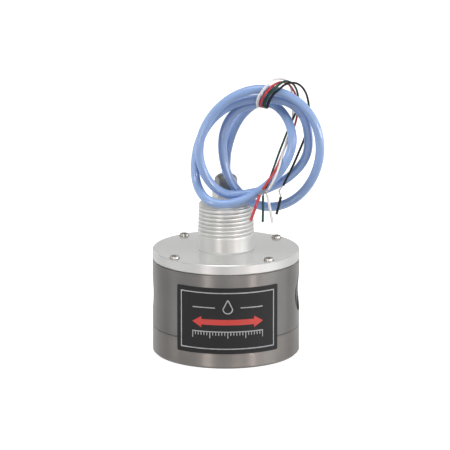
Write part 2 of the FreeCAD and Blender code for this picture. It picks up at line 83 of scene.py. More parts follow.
def addNode(tree, kind, operation=None):
    node = tree.nodes.new("ShaderNode" + kind)
    if operation:
        node.operation = operation
    return node


def noiseOn(tree, source, scale, detail, oneWay=False):
    noise = addNode(tree, "TexNoise")
    noise.inputs["Scale"].default_value = scale
    noise.inputs["Detail"].default_value = detail
    if oneWay:
        noise.noise_dimensions = "1D"
        tree.links.new(source, noise.inputs["W"])
    else:
        tree.links.new(source, noise.inputs["Vector"])
    return noise.outputs["Fac"]


def shadeBetween(tree, factor, colour, low, high, target):
    ramp = addNode(tree, "ValToRGB")
    for element, place, level in zip(ramp.color_ramp.elements, noiseSpan, (low, high)):
        element.position = place
        element.color = (*[part * level for part in colour], 1)
    tree.links.new(factor, ramp.inputs["Fac"])
    tree.links.new(ramp.outputs["Color"], target)


def mapBetween(tree, value, source, result, target=None, smooth=False):
    change = addNode(tree, "MapRange")
    if smooth:
        change.interpolation_type = "SMOOTHSTEP"
    for socket, level in zip(("From Min", "From Max", "To Min", "To Max"), (*source, *result)):
        change.inputs[socket].default_value = level
    tree.links.new(value, change.inputs["Value"])
    if target is not None:
        tree.links.new(change.outputs["Result"], target)
    return change


def bumpFrom(tree, height, strength, distance, shader):
    bump = addNode(tree, "Bump")
    bump.inputs["Strength"].default_value = strength
    bump.inputs["Distance"].default_value = distance
    tree.links.new(height, bump.inputs["Height"])
    tree.links.new(bump.outputs["Normal"], shader.inputs["Normal"])


def objectPlace(tree):
    return addNode(tree, "TexCoord").outputs["Object"]


def ringPlace(tree):  # height plus distance from the axis: even on a turned side and on a turned face
    place = objectPlace(tree)
    flat = addNode(tree, "VectorMath", "MULTIPLY")
    flat.inputs[1].default_value = (1, 1, 0)
    reach = addNode(tree, "VectorMath", "LENGTH")
    height = addNode(tree, "SeparateXYZ")
    total = addNode(tree, "Math", "ADD")
    tree.links.new(place, flat.inputs[0])
    tree.links.new(flat.outputs["Vector"], reach.inputs[0])
    tree.links.new(place, height.inputs[0])
    tree.links.new(reach.outputs["Value"], total.inputs[0])
    tree.links.new(height.outputs["Z"], total.inputs[1])
    return total.outputs["Value"]


# what all finishes of a kind share: noise scales are per metre, and reliefs are in metres
turned = {
    "ringTurn": 0.25, "ringDetail": 4, "cloudScale": 90, "cloudDetail": 3, "roughSwing": 0.08,
    "relief": 0.00004, "faceFrom": 0.6, "faceFull": 0.95,
}
plated = {"detail": 4, "smoothest": 0.85, "roughest": 1.2, "strength": 0.12, "relief": 0.00003}
moulded = {
    "coatRough": 0.1, "cloudScale": 70, "cloudDetail": 3, "grainDetail": 5, "smoothest": 0.9,
    "roughest": 1.12, "relief": 0.00004,
}


def finerFaceWithPaintedLight(tree, shader, rough, metal, face):  # a flat turned face is cut finer than the side, and its colour is scaled paler as painted light on the level top
    level = addNode(tree, "SeparateXYZ")
    tree.links.new(addNode(tree, "NewGeometry").outputs["True Normal"], level.inputs[0])
    # painted light: the base colour is scaled up on a level face, so the top reads lighter as if more light
    # fell on it
    paintedTopLight = addNode(tree, "VectorMath", "SCALE")
    tree.links.new(shader.inputs["Base Color"].links[0].from_socket, paintedTopLight.inputs[0])
    tree.links.new(paintedTopLight.outputs["Vector"], shader.inputs["Base Color"])
    changes = (
        ((rough, face["rough"]), shader.inputs["Roughness"]),
        ((metal, face["metal"]), shader.inputs["Metallic"]),
        ((1, face["shade"]), paintedTopLight.inputs["Scale"]),
    )
    for result, socket in changes:  # a surface turns into a face as it comes to lie level
        mapBetween(tree, level.outputs["Z"], (turned["faceFrom"], turned["faceFull"]), result, socket)


def turnedFinish(
    name, colour, rough, stretch, ringsPerMetre, shadeSwing, ringStrength, metal=1.0, face=None,
):
    finish, tree, shader = newFinish(name, colour, rough, metal)
    shader.inputs["Anisotropic"].default_value = stretch
    shader.inputs["Anisotropic Rotation"].default_value = turned["ringTurn"]
    rings = noiseOn(tree, ringPlace(tree), ringsPerMetre, turned["ringDetail"], True)
    shadeBetween(tree, rings, colour, 1 - shadeSwing, 1 + shadeSwing, shader.inputs["Base Color"])
    if face:
        finerFaceWithPaintedLight(tree, shader, rough, metal, face)
    else:
        cloud = noiseOn(tree, objectPlace(tree), turned["cloudScale"], turned["cloudDetail"])
        swing = rough * turned["roughSwing"]
        mapBetween(tree, cloud, noiseSpan, (rough - swing, rough + swing), shader.inputs["Roughness"])
    bumpFrom(tree, rings, ringStrength, turned["relief"], shader)
    return finish


def platedFinish(name, colour, rough, shadeSwing, grainPerMetre):
    finish, tree, shader = newFinish(name, colour, rough, 1.0)
    grain = noiseOn(tree, objectPlace(tree), grainPerMetre, plated["detail"])
    shadeBetween(tree, grain, colour, 1 - shadeSwing, 1 + shadeSwing, shader.inputs["Base Color"])
    span = (rough * plated["smoothest"], rough * plated["roughest"])
    mapBetween(tree, grain, noiseSpan, span, shader.inputs["Roughness"])
    bumpFrom(tree, grain, plated["strength"], plated["relief"], shader)
    return finish


def mouldedFinish(name, colour, rough, shadeSwing, grainPerMetre, grainStrength, coat=0.0, shine=0.5):
    finish, tree, shader = newFinish(name, colour, rough)
    shader.inputs["Coat Weight"].default_value = coat
    shader.inputs["Coat Roughness"].default_value = moulded["coatRough"]
    shader.inputs["Specular IOR Level"].default_value = shine
    cloud = noiseOn(tree, objectPlace(tree), moulded["cloudScale"], moulded["cloudDetail"])
    shadeBetween(tree, cloud, colour, 1 - shadeSwing, 1 + shadeSwing, shader.inputs["Base Color"])
    grain = noiseOn(tree, objectPlace(tree), grainPerMetre, moulded["grainDetail"])
    span = (rough * moulded["smoothest"], rough * moulded["roughest"])
    mapBetween(tree, grain, noiseSpan, span, shader.inputs["Roughness"])
    bumpFrom(tree, grain, grainStrength, moulded["relief"], shader)
    return finish


# turned metal: colour, roughness, stretch, rings per metre, swing of shade, relief, metal, flat face (finer
# cut, with painted light on its colour)
darkAnodised = turnedFinish("dark_anodised", (0.195, 0.188, 0.182), 0.44, 0.9, 3200, 0.07, 0.25)
darkBase = turnedFinish("dark_base", (0.216, 0.203, 0.191), 0.44, 0.9, 3200, 0.07, 0.25)
# the cap's top face: lower roughness and more metal, and its colour ×1.5 as painted light on the top
capFace = {"rough": 0.15, "metal": 0.8, "shade": 1.5}
brightTurned = turnedFinish("bright_turned", (0.57, 0.57, 0.56), 0.43, 0.6, 2600, 0.03, 0.06, 0.5, capFace)
brightThread = turnedFinish("bright_thread", (0.61, 0.61, 0.594), 0.33, 0.0, 2200, 0.03, 0.06, 0.58)
brightCollar = turnedFinish("bright_collar", (0.58, 0.58, 0.565), 0.42, 0.0, 2400, 0.03, 0.06, 0.27)
# plated metal: colour, roughness, swing of shade, grain per metre
platedNickel = platedFinish("plated_nickel", (0.52, 0.53, 0.52), 0.3, 0.06, 900)
nutNickel = platedFinish("nut_nickel", (0.25, 0.257, 0.243), 0.38, 0.06, 900)
screwSteel = platedFinish("screw_steel", (0.42, 0.41, 0.385), 0.36, 0.08, 1500)
shaftSteel = platedFinish("shaft_steel", (0.60, 0.60, 0.60), 0.18, 0.04, 2500)
magnetPlate = platedFinish("magnet_plate", (0.66, 0.65, 0.62), 0.2, 0.05, 1200)
tinnedCopper = platedFinish("tinned_copper", (0.42, 0.40, 0.37), 0.32, 0.08, 2600)
# rubber and plastic: colour, roughness, swing of shade, grain per metre, relief, coat, shine
sealRubber = mouldedFinish("seal_rubber", (0.022, 0.022, 0.023), 0.62, 0.2, 1800, 0.25)
gearResin = mouldedFinish("gear_resin", (0.62, 0.60, 0.52), 0.42, 0.05, 1400, 0.12)
bushCarbon = mouldedFinish("bush_carbon", (0.045, 0.045, 0.047), 0.38, 0.15, 2400, 0.2)
boardGreen = mouldedFinish("board_green", (0.020, 0.130, 0.062), 0.35, 0.12, 1600, 0.12, 0.4)
blackPlastic = mouldedFinish("black_plastic", (0.030, 0.030, 0.031), 0.48, 0.12, 1500, 0.2)
blueJacket = mouldedFinish("blue_jacket", (0.295, 0.45, 0.79), 0.3, 0.05, 1300, 0.1, 0.7, 0.4)
redWire = mouldedFinish("red_wire", (0.58, 0.034, 0.042), 0.32, 0.06, 2200, 0.08, 0.2)
greenWire = mouldedFinish("green_wire", (0.005, 0.062, 0.045), 0.32, 0.08, 2200, 0.08, 0.0, 0.3)
whiteWire = mouldedFinish("white_wire", (0.88, 0.87, 0.86), 0.34, 0.03, 2200, 0.08, 0.3)
blackWire = mouldedFinish("black_wire", (0.007, 0.007, 0.008), 0.34, 0.1, 2200, 0.08, 0.0, 0.2)
labelFilm = mouldedFinish("label_film", (0.015, 0.015, 0.016), 0.6, 0.06, 3000, 0.12, 0.0, 0.25)
labelSilver = mouldedFinish("label_silver", (0.50, 0.50, 0.51), 0.45, 0.04, 3000, 0.1)
labelRed = mouldedFinish("label_red", (0.72, 0.050, 0.040), 0.45, 0.04, 3000, 0.1)
print("finishes made")


# cable, coil and wires: points across, deep and up in the coil's plane in millimetres, lengths in metres
coilTurn = math.radians(5.3)


def onCoilPlane(point):
    across, deep, up = point
    x = across * math.cos(coilTurn) - deep * math.sin(coilTurn)
    y = across * math.sin(coilTurn) + deep * math.cos(coilTurn)
    return Vector((x, y, up)) * mm


cable = {
    "diameter": 4.2,
    "lead": [
        (0.0, 0.0, 86.5), (0.0, 0.0, 94.0), (1.2, -0.6, 101.3), (3.8, -1.3, 109.1),
        (7.6, -1.5, 115.7), (13.3, -1.4, 120.7),
    ],
    # each turn's top and right, then its bottom and left, with how full the quarter is that starts there
    "marks": [
        (18.1, -2.4, 121.9, 0.98), (31.5, -13.5, 105.1, 1.17),
        (-0.7, -16.8, 75.4, 0.79), (-14.8, -10.6, 92.8, 0.95),
        (17.0, -9.0, 125.3, 0.76), (39.2, -8.8, 102.2, 1.05),
        (3.3, -12.0, 78.8, 1.04), (-12.9, -14.8, 101.5, 1.08),
        (15.9, -13.4, 130.7, 0.97), (44.6, -12.6, 101.8, 1.03),
        (20.9, -7.6, 71.9, 1.0), (-1.9, -7.8, 101.5, 0.9),
        (14.3, -5.9, 121.5, 1.0),
    ],
    "pointsPerQuarter": 5, "length": 0.507, "smoothness": 6,
}
wires = {
    "red": {
        "finish": redWire, "length": 0.09, "swell": (1.55, 1.35), "sleeveDiameter": 1.45,
        "route": [
            (14.0, -6.7, 122.1), (15.8, -9.0, 121.7), (16.6, -11.4, 121.6), (16.4, -13.2, 122.4),
            (16.4, -14.6, 124.5), (17.6, -16.5, 127.8), (19.4, -16.9, 130.1), (21.2, -15.7, 132.1),
            (23.6, -12.5, 132.9), (26.3, -9.0, 133.1), (29.4, -6.4, 131.5), (31.6, -5.0, 128.7),
            (33.5, -5.5, 124.5), (33.9, -5.4, 117.7), (32.8, -5.3, 111.9), (31.0, -4.6, 107.6),
            (28.9, -6.0, 103.5), (26.9, -9.4, 99.2), (24.7, -15.3, 94.7), (22.8, -17.6, 91.4),
            (20.6, -18.8, 88.4), (18.7, -19.5, 85.7), (17.3, -19.4, 83.5),
        ],
        "bare": [(17.3, -19.4, 83.5), (17.4, -19.9, 82.5), (16.4, -20.2, 81.8), (15.9, -20.2, 80.9)],
        "sleeve": [(15.9, -20.2, 81.0), (13.9, -20.7, 75.1), (11.6, -20.6, 68.7)],
    },
    "green": {
        "finish": greenWire, "length": 0.089, "swell": (1.45, 1.0), "sleeveDiameter": 1.15,
        "route": [
            (14.0, -5.2, 122.1), (16.4, -7.8, 121.6), (17.7, -10.8, 121.4), (18.0, -13.1, 122.2),
            (18.2, -14.6, 124.5), (19.4, -16.4, 127.6), (21.6, -16.7, 130.3), (23.8, -15.2, 132.1),
            (26.3, -12.0, 133.4), (28.2, -9.5, 133.6), (30.0, -7.5, 132.7), (31.9, -6.0, 131.2),
            (33.5, -5.2, 128.2), (34.5, -4.1, 122.4), (33.0, -4.1, 117.0), (29.6, -5.5, 110.0),
            (27.3, -7.3, 104.4), (24.9, -9.9, 98.7), (22.9, -13.4, 93.7), (21.2, -16.2, 89.6),
            (20.0, -17.6, 86.7), (18.8, -18.4, 83.7),
        ],
        "bare": [(18.8, -18.4, 83.7), (17.9, -19.3, 82.6), (18.2, -19.6, 81.6), (17.4, -19.6, 80.5)],
        "sleeve": [(17.4, -19.6, 80.6), (17.5, -20.0, 74.4), (17.3, -19.9, 67.8)],
    },
    "white": {
        "finish": whiteWire, "length": 0.093, "swell": (1.45, 1.1), "sleeveDiameter": 1.3,
        "route": [
            (14.0, -6.7, 120.9), (14.7, -9.6, 121.1), (15.0, -11.6, 121.5), (14.8, -13.2, 122.3),
            (14.6, -14.6, 124.4), (15.5, -16.6, 127.8), (17.3, -17.1, 130.5), (19.0, -16.6, 132.7),
            (20.8, -15.0, 134.4), (22.8, -13.0, 135.1), (25.4, -10.0, 134.8), (28.1, -6.9, 133.6),
            (30.2, -4.0, 130.6), (31.3, -2.6, 125.9), (31.8, -2.2, 119.4), (31.6, -3.1, 113.1),
            (30.2, -5.6, 108.4), (28.5, -8.2, 104.0), (26.9, -11.8, 99.6), (25.3, -17.0, 94.8),
            (23.8, -18.9, 90.6), (21.7, -19.4, 86.3), (20.0, -19.4, 83.3),
        ],
        "bare": [(20.0, -19.4, 83.3), (18.7, -20.0, 82.6), (18.8, -20.1, 81.6), (19.5, -19.9, 80.6)],
        "sleeve": [(19.5, -19.9, 80.7), (20.8, -20.3, 74.2), (21.9, -20.2, 67.5)],
    },
    "black": {
        "finish": blackWire, "length": 0.09, "swell": (1.35, 1.1), "sleeveDiameter": 1.25,
        "route": [
            (14.0, -5.2, 120.9), (16.8, -7.2, 120.9), (18.9, -10.4, 120.9), (19.5, -13.0, 121.5),
            (19.6, -14.4, 123.0), (20.3, -16.0, 125.6), (22.2, -17.0, 128.8), (24.8, -16.4, 130.8),
            (27.2, -14.2, 132.6), (30.0, -11.8, 133.1), (32.8, -9.4, 132.6), (35.2, -7.6, 130.9),
            (37.1, -6.2, 128.3), (38.5, -5.2, 124.7), (39.3, -4.6, 119.4), (39.0, -4.6, 111.9),
            (37.1, -5.4, 104.8), (34.3, -8.4, 98.7), (31.6, -12.2, 93.2), (29.2, -15.4, 89.1),
            (27.6, -17.8, 86.4), (27.0, -18.8, 85.2),
        ],
        "bare": [
            (27.0, -18.8, 85.2), (26.0, -19.2, 84.1), (25.0, -19.4, 83.0), (25.3, -19.5, 81.6),
            (25.8, -19.6, 79.9),
        ],
        "sleeve": [(25.8, -19.6, 80.0), (24.9, -19.9, 75.8), (23.8, -19.9, 71.6)],
    },
}
wireSize = {
    "diameter": 1.0, "smoothness": 4,
    "swellFull": 0.2, "swellTo": 0.42, "swellFrom": 0.6,  # shares of a wire's length
    "strands": 7, "strandDiameter": 0.16, "strandSmoothness": 3,
    "bundle": 0.17, "splay": 0.3, "leastSplay": 0.3, "splayStep": 2.4, "twist": 1.6,
}


def coilPoints(marks, perQuarter):
    points = []
    for index in range(len(marks) - 1):
        start, end = marks[index], marks[index + 1]
        for step in range(perQuarter):
            share = step / perQuarter
            bend = share * math.pi / 2
            out = math.sin(bend) ** start[3]
            back = 1 - math.cos(bend) ** start[3]
            if index % 2:  # from a side mark the line leaves upright
                out, back = back, out
            ease = share * share * (3 - 2 * share)
            across = start[0] + (end[0] - start[0]) * out
            deep = start[1] + (end[1] - start[1]) * ease
            up = start[2] + (end[2] - start[2]) * back
            points.append((across, deep, up))
    points.append(marks[-1][:3])
    return points


def swellAt(share, swell):  # full near the start, gone at swellTo, and growing again from swellFrom
    early = (wireSize["swellTo"] - share) / (wireSize["swellTo"] - wireSize["swellFull"])
    late = (share - wireSize["swellFrom"]) / (1 - wireSize["swellFrom"])
    return 1 + (swell[0] - 1) * min(1, max(0, early)) + (swell[1] - 1) * max(0, late)


def addSpline(data, points, swell):
    spline = data.splines.new("NURBS")
    last = len(points) - 1
    spline.points.add(last)
    for index, (knot, point) in enumerate(zip(spline.points, points)):
        knot.co = (*onCoilPlane(point), 1)
        knot.radius = swellAt(index / last, swell)
    spline.order_u = 3
    spline.use_endpoint_u = True


def cordPiece(name, routes, diameter, finish, smoothness, swell=(1.0, 1.0)):
    data = bpy.data.curves.new(name, "CURVE")
    data.dimensions = "3D"
    data.resolution_u = smoothness
    data.bevel_depth = diameter * mm / 2
    data.bevel_resolution = smoothness
    data.use_fill_caps = True
    for route in routes:
        addSpline(data, route, swell)
    data.materials.append(finish)
    piece = bpy.data.objects.new(name, data)
    bpy.context.collection.objects.link(piece)
    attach(piece, "housing")
    return piece


cablePoints = cable["lead"] + coilPoints(cable["marks"], cable["pointsPerQuarter"])
cablePiece = cordPiece(
    "cable", [cablePoints], cable["diameter"], blueJacket, cable["smoothness"],
)
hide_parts("cable_lead", "cable_coil")


def strandRoute(bare, index):
    turn = index * math.tau / (wireSize["strands"] - 1)
    least = wireSize["leastSplay"]
    loose = wireSize["splay"] * (least + (1 - least) * math.sin(index * wireSize["splayStep"]) ** 2)
    last = len(bare) - 1
    route = []
    for step, (across, deep, up) in enumerate(bare):
        share = step / last
        spread = wireSize["bundle"] + loose * math.sin(math.pi * share)
        if index == 0:  # the core stays in the middle
            spread = 0
        angle = turn + share * wireSize["twist"]
        route.append((across + spread * math.cos(angle), deep + spread * math.sin(angle), up))
    return route


for colour, wire in wires.items():
    piece = cordPiece(
        "wire_" + colour + "_lead", [wire["route"]], wireSize["diameter"], wire["finish"],
        wireSize["smoothness"], wire["swell"],
    )
    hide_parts("wire_" + colour)
    sleeve = cordPiece(
        "sleeve_" + colour, [wire["sleeve"]], wire["sleeveDiameter"], wire["finish"],
        wireSize["smoothness"],
    )
    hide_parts("wire_sleeves")
    routes = [strandRoute(wire["bare"], index) for index in range(wireSize["strands"])]
    strands = cordPiece(
        "strands_" + colour, routes, wireSize["strandDiameter"], tinnedCopper,
        wireSize["strandSmoothness"],
    )
    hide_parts("bare_strands")
print("cable and wires laid")


# mesh helpers, in millimetres until a piece is finished
near = {"weld": 0.002, "threadWeld": 0.003, "printWeld": 0.0005, "cut": 0.0005, "rim": 0.01}


def newPiece(name, bm, finish, stoodFor=(), sharpAngle=32, merge=near["weld"]):
    bmesh.ops.remove_doubles(bm, verts=bm.verts, dist=merge)
    bmesh.ops.scale(bm, vec=(mm, mm, mm), verts=bm.verts)
    bmesh.ops.recalc_face_normals(bm, faces=bm.faces)
    for face in bm.faces:
        face.smooth = True
    for edge in bm.edges:
        if len(edge.link_faces) == 2:
            edge.smooth = edge.calc_face_angle() < math.radians(sharpAngle)
    mesh = bpy.data.meshes.new(name)
    bm.to_mesh(mesh)
    bm.free()
    mesh.materials.append(finish)
    piece = bpy.data.objects.new(name, mesh)
    bpy.context.collection.objects.link(piece)
    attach(piece, "housing")
    if stoodFor:
        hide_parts(*stoodFor)
    return piece


def spinProfile(bm, profile, steps, closed):
    corners = [bm.verts.new((radius, 0, height)) for radius, height in profile]
    pairs = list(zip(corners, corners[1:]))
    if closed:
        pairs.append((corners[-1], corners[0]))
    edges = [bm.edges.new(pair) for pair in pairs]
    bmesh.ops.spin(
        bm, geom=corners + edges, cent=(0, 0, 0), axis=(0, 0, 1), angle=math.tau, steps=steps,
        use_merge=True,
    )
    bmesh.ops.remove_doubles(bm, verts=bm.verts, dist=near["weld"])


def setReach(vert, reach):
    now = math.hypot(vert.co.x, vert.co.y)
    if now > 0:
        vert.co.x *= reach / now
        vert.co.y *= reach / now


def hexReach(vert, flats):
    angle = math.degrees(math.atan2(vert.co.y, vert.co.x)) % 60 - 30
    return flats / 2 / math.cos(math.radians(angle))


def slopeRows(start, end, count):
    rows = []
    for step in range(count + 1):
        share = step / count
        rows.append((start[0] + (end[0] - start[0]) * share, start[1] + (end[1] - start[1]) * share))
    return rows


# one pitch of thread: how far along it, and how deep below the outer radius, as shares
threadShape = [
    (0.0, 0.0), (0.14, 0.0), (0.2, 0.02), (0.25, 0.1), (0.44, 0.92), (0.47, 0.99), (0.5, 1.0),
    (0.53, 0.99), (0.56, 0.92), (0.75, 0.1), (0.8, 0.02), (0.86, 0.0), (1.0, 0.0),
]


def windThread(bm, outer, depth, pitch, start, length, steps):
    turns = math.ceil(length / pitch) + 2  # the two spare turns are trimmed off at the ends
    corners = [
        bm.verts.new((outer - depth * down, 0, start + pitch * along)) for along, down in threadShape
    ]
    edges = [bm.edges.new(pair) for pair in zip(corners, corners[1:])]
    bmesh.ops.spin(
        bm, geom=corners + edges, cent=(0, 0, 0), axis=(0, 0, 1), dvec=(0, 0, pitch / steps),
        angle=math.tau * turns, steps=steps * turns,
    )
    bmesh.ops.remove_doubles(bm, verts=bm.verts, dist=near["threadWeld"])


def trimBetween(bm, low, high):
    for level, keepAbove in ((low, True), (high, False)):
        geom = bm.verts[:] + bm.edges[:] + bm.faces[:]
        bmesh.ops.bisect_plane(
            bm, geom=geom, dist=near["cut"], plane_co=(0, 0, level), plane_no=(0, 0, 1),
            clear_inner=keepAbove, clear_outer=not keepAbove,
        )


def rimAt(bm, level):
    return [
        edge for edge in bm.edges
        if len(edge.link_faces) == 1 and all(abs(vert.co.z - level) < near["rim"] for vert in edge.verts)
    ]


def carryRim(bm, rim, reach, height):
    grown = bmesh.ops.extrude_edge_only(bm, edges=rim)["geom"]
    verts = {item for item in grown if isinstance(item, bmesh.types.BMVert)}
    for vert in verts:
        setReach(vert, reach)
        vert.co.z = height
    return [
        item for item in grown
        if isinstance(item, bmesh.types.BMEdge) and all(vert in verts for vert in item.verts)
    ]


# conduit neck: a taper pipe thread above a plain collar
neck = {
    "pitch": 1.9, "threadDepth": 0.62, "runOut": 1.5, "crest": 13.4, "taper": 1 / 32, "stepsPerTurn": 72,
    "turnsBelow": 1.6, "collarTop": 57.2, "top": 73.0, "endChamfer": 0.9,
    # radius and height, down the collar, under its foot and up the bore
    "inside": [
        (13.25, 57.2), (13.38, 57.14), (13.4, 57.0), (13.4, 51.0), (13.46, 50.78), (13.62, 50.56),
        (13.9, 50.4), (10.0, 50.4), (10.0, 47.6), (6.5, 47.6), (6.5, 63.5), (4.55, 63.5), (4.55, 73.0),
    ],
}


def makeNeck():
    bm = bmesh.new()
    height = neck["top"] - neck["collarTop"]
    start = neck["collarTop"] - neck["turnsBelow"] * neck["pitch"]
    windThread(bm, neck["crest"], neck["threadDepth"], neck["pitch"], start, height, neck["stepsPerTurn"])
    trimBetween(bm, neck["collarTop"], neck["top"])
    endReach = neck["crest"] - height * neck["taper"] - neck["endChamfer"]
    for vert in bm.verts:
        rise = vert.co.z - neck["collarTop"]
        depth = (neck["crest"] - math.hypot(vert.co.x, vert.co.y)) * min(1, rise / neck["runOut"])
        reach = neck["crest"] - depth - rise * neck["taper"]
        setReach(vert, min(reach, endReach + neck["top"] - vert.co.z))
    topRim = rimAt(bm, neck["top"])
    rim = rimAt(bm, neck["collarTop"])
    for reach, level in neck["inside"]:
        rim = carryRim(bm, rim, reach, level)
    bmesh.ops.bridge_loops(bm, edges=rim + topRim)
    piece = newPiece("neck", bm, brightThread, ["conduit_neck"])
    piece.data.materials.append(brightCollar)
    for face in piece.data.polygons:
        if face.center.z < neck["collarTop"] * mm:
            face.material_index = 1


makeNeck()

# cable gland: both hexagons have turned ends, so their flats end in arcs
gland = {
    "bodyFlats": 11.4,
    "bodyProfile": [(2.3, 64.0), (4.3, 64.0), (4.5, 64.2), (4.5, 73.0)]
    + slopeRows((5.45, 73.0), (6.6, 73.62), 5) + slopeRows((6.6, 77.98), (5.45, 78.6), 5)
    + [(3.8, 78.6), (3.8, 82.0), (3.25, 82.0), (3.25, 79.6), (2.3, 79.6)],
    "nutFlats": 9.4,
    "nutProfile": [(3.95, 78.6)] + slopeRows((4.5, 78.62), (5.44, 79.1), 5)
    + [(5.44, 84.3), (5.28, 84.62), (5.06, 84.98), (4.8, 85.3), (4.5, 85.6), (4.15, 85.88)]
    + [(3.75, 86.14), (3.35, 86.36), (3.0, 86.48), (2.6, 86.5), (2.38, 86.44), (2.3, 86.3)]
    + [(2.3, 84.15), (3.2, 84.15), (3.2, 82.15), (3.95, 82.15)],
    "steps": 96, "sharpAngle": 24,
}


def makeGland(name, profile, flats, finish, stoodFor):
    bm = bmesh.new()
    spinProfile(bm, profile, gland["steps"], True)
    for vert in bm.verts:
        setReach(vert, min(math.hypot(vert.co.x, vert.co.y), hexReach(vert, flats)))
    newPiece(name, bm, finish, [stoodFor], gland["sharpAngle"])


makeGland("gland_base", gland["bodyProfile"], gland["bodyFlats"], platedNickel, "gland_body")
makeGland("gland_cap", gland["nutProfile"], gland["nutFlats"], nutNickel, "gland_nut")

# screws: heads with a broken edge and a hexagon socket
screws = {
    "cap": {
        "node": "cap_screws", "shank": 1.25, "length": 9.65, "head": 2.1, "headHeight": 2.3, "edge": 0.35,
        "flats": 1.3, "socketDepth": 0.6,
        "circle": 31.5, "first": 45, "count": 4, "seat": 49.25, "turned": 0,
    },
    "base": {
        "node": "base_screws", "shank": 1.5, "length": 17.6, "head": 2.75, "headHeight": 3.0, "edge": 0.3,
        "flats": 2.4, "socketDepth": 1.65,
        "circle": 30.0, "first": 30, "count": 6, "seat": 4.0, "turned": math.pi,
    },
}
screwForm = {
    "tip": 0.4, "seatEdge": 0.1, "edgeBend": 0.3, "socketEdge": 0.22, "socketLead": 0.16,
    "drillPoint": 0.35, "steps": 48, "slack": 0.01, "sharpAngle": 28, "firstTwist": 0.4, "twist": 1.9,
}


def makeScrews(name, spec):
    single = bmesh.new()
    shank = spec["shank"]
    end = -spec["length"]
    head = spec["head"]
    top = spec["headHeight"]
    edge = spec["edge"]
    bend = edge * screwForm["edgeBend"]
    corner = spec["flats"] / math.sqrt(3)
    floor = top - spec["socketDepth"]
    spinProfile(single, [
        (0, end), (shank - screwForm["tip"], end), (shank, end + screwForm["tip"]), (shank, 0),
        (head - screwForm["seatEdge"], 0), (head, screwForm["seatEdge"]),
        (head, top - edge), (head - bend, top - bend), (head - edge, top),
        (corner + screwForm["socketEdge"], top), (corner, top - screwForm["socketLead"]), (corner, floor),
        (0, floor - screwForm["drillPoint"]),
    ], screwForm["steps"], False)
    slack = screwForm["slack"]
    for vert in single.verts:
        reach = math.hypot(vert.co.x, vert.co.y)
        if vert.co.z > floor - slack and slack < reach < corner + slack:
            setReach(vert, hexReach(vert, spec["flats"]))
    mesh = bpy.data.meshes.new("screw_shape")
    single.to_mesh(mesh)
    single.free()
    bm = bmesh.new()
    for index in range(spec["count"]):
        angle = math.radians(spec["first"] + 360 * index / spec["count"])
        place = Vector((spec["circle"] * math.cos(angle), spec["circle"] * math.sin(angle), spec["seat"]))
        before = len(bm.verts)
        bm.from_mesh(mesh)
        bm.verts.ensure_lookup_table()
        twist = Matrix.Rotation(index * screwForm["twist"] + screwForm["firstTwist"], 4, "Z")
        flip = Matrix.Rotation(spec["turned"], 4, "X")
        bmesh.ops.transform(bm, matrix=Matrix.Translation(place) @ flip @ twist, verts=bm.verts[before:])
    bpy.data.meshes.remove(mesh)
    newPiece(name, bm, screwSteel, [spec["node"]], screwForm["sharpAngle"])


makeScrews("cap_socket_screws", screws["cap"])
makeScrews("base_socket_screws", screws["base"])
print("neck, gland and screws made")

# ports: the housing's bores open out to the thread's root, and each takes a thread
port = {
    "level": 29.6, "bore": 7.4, "root": 8.34, "crest": 7.45, "pitch": 1.411, "inner": 21.05,
    "outer": 32.9, "turnsBelow": 1.5, "stepsPerTurn": 60, "chamferReach": 8.5, "wall": 0.2,
    "endSlack": 0.1, "boreSlack": 0.02, "sharpAngle": 28,
}


def makeBoredHousing():
    bm = bmesh.new()
    bm.from_mesh(nodes["meter_body"].data)
    bmesh.ops.scale(bm, vec=(1 / mm, 1 / mm, 1 / mm), verts=bm.verts)
    bmesh.ops.remove_doubles(bm, verts=bm.verts, dist=near["weld"])
    for vert in bm.verts:
        lift = vert.co.z - port["level"]
        reach = math.hypot(vert.co.y, lift)
        inPort = abs(vert.co.x) > port["inner"] - port["endSlack"]
        if inPort and abs(reach - port["bore"]) < port["boreSlack"]:
            vert.co.y *= port["root"] / reach
            vert.co.z = port["level"] + lift * port["root"] / reach
    newPiece("housing_shell", bm, darkAnodised, ["meter_body"], port["sharpAngle"])


def makePortThread(name, side):
    bm = bmesh.new()
    depth = port["root"] - port["crest"]
    length = port["outer"] - port["inner"]
    start = port["inner"] - port["turnsBelow"] * port["pitch"]
    windThread(bm, port["root"], depth, port["pitch"], start, length, port["stepsPerTurn"])
    trimBetween(bm, port["inner"], port["outer"])
    for vert in bm.verts:
        reach = math.hypot(vert.co.x, vert.co.y)
        setReach(vert, max(reach, port["chamferReach"] + vert.co.z - port["outer"]))
    outside = port["root"] + port["wall"]
    rim = carryRim(bm, rimAt(bm, port["inner"]), outside, port["inner"])
    farRim = carryRim(bm, rimAt(bm, port["outer"]), outside, port["outer"])
    bmesh.ops.bridge_loops(bm, edges=rim + farRim)
    lay = Matrix.Translation((0, 0, port["level"])) @ Matrix.Rotation(side * math.pi / 2, 4, "Y")
    bmesh.ops.transform(bm, matrix=lay, verts=bm.verts)
    newPiece(name, bm, darkAnodised)


makeBoredHousing()
makePortThread("port_thread_in", -1)
makePortThread("port_thread_out", 1)
print("ports threaded")

# label: a film wrapped on the housing, with a plain print that shows a drop, a two-way arrow and a scale
label = {
    "width": 51.5, "height": 32.0, "middle": 23.4, "facing": -83.3, "corner": 0.7, "cornerSteps": 5,
    "housing": 35.0, "under": 35.05, "film": 0.2, "ink": 0.03, "inkSink": 0.005,
    "cutEvery": 0.8, "cutNear": 0.0001, "sharpAngle": 32,
}
